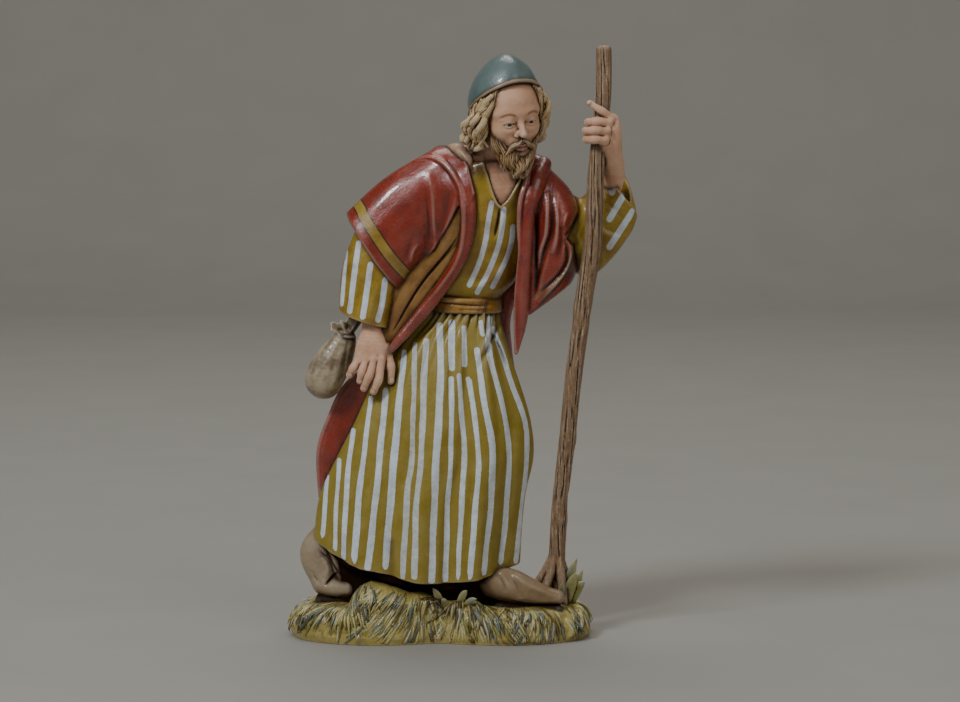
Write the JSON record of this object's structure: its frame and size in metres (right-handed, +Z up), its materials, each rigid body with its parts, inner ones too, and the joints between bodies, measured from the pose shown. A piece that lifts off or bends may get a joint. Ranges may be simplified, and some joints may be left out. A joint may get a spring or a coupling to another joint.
{
  "type": "nativity figure",
  "caption": "Stooping bearded wayfarer in a striped robe and red mantle, with skull cap, tied sack and tall staff, moulded in one piece with a grassy mound.",
  "frame": {"origin": "centre of the mound's flat underside", "axes": "+Z up, +X towards the figure's left hand and staff, -Y the side the figure faces"},
  "size_m": [0.0708, 0.0342, 0.1223],
  "materials": {
    "painted_body": "hand painted under a gloss varnish"
  },
  "bodies": {
    "root": {"figure": "painted_body"}
  },
  "joints": []
}
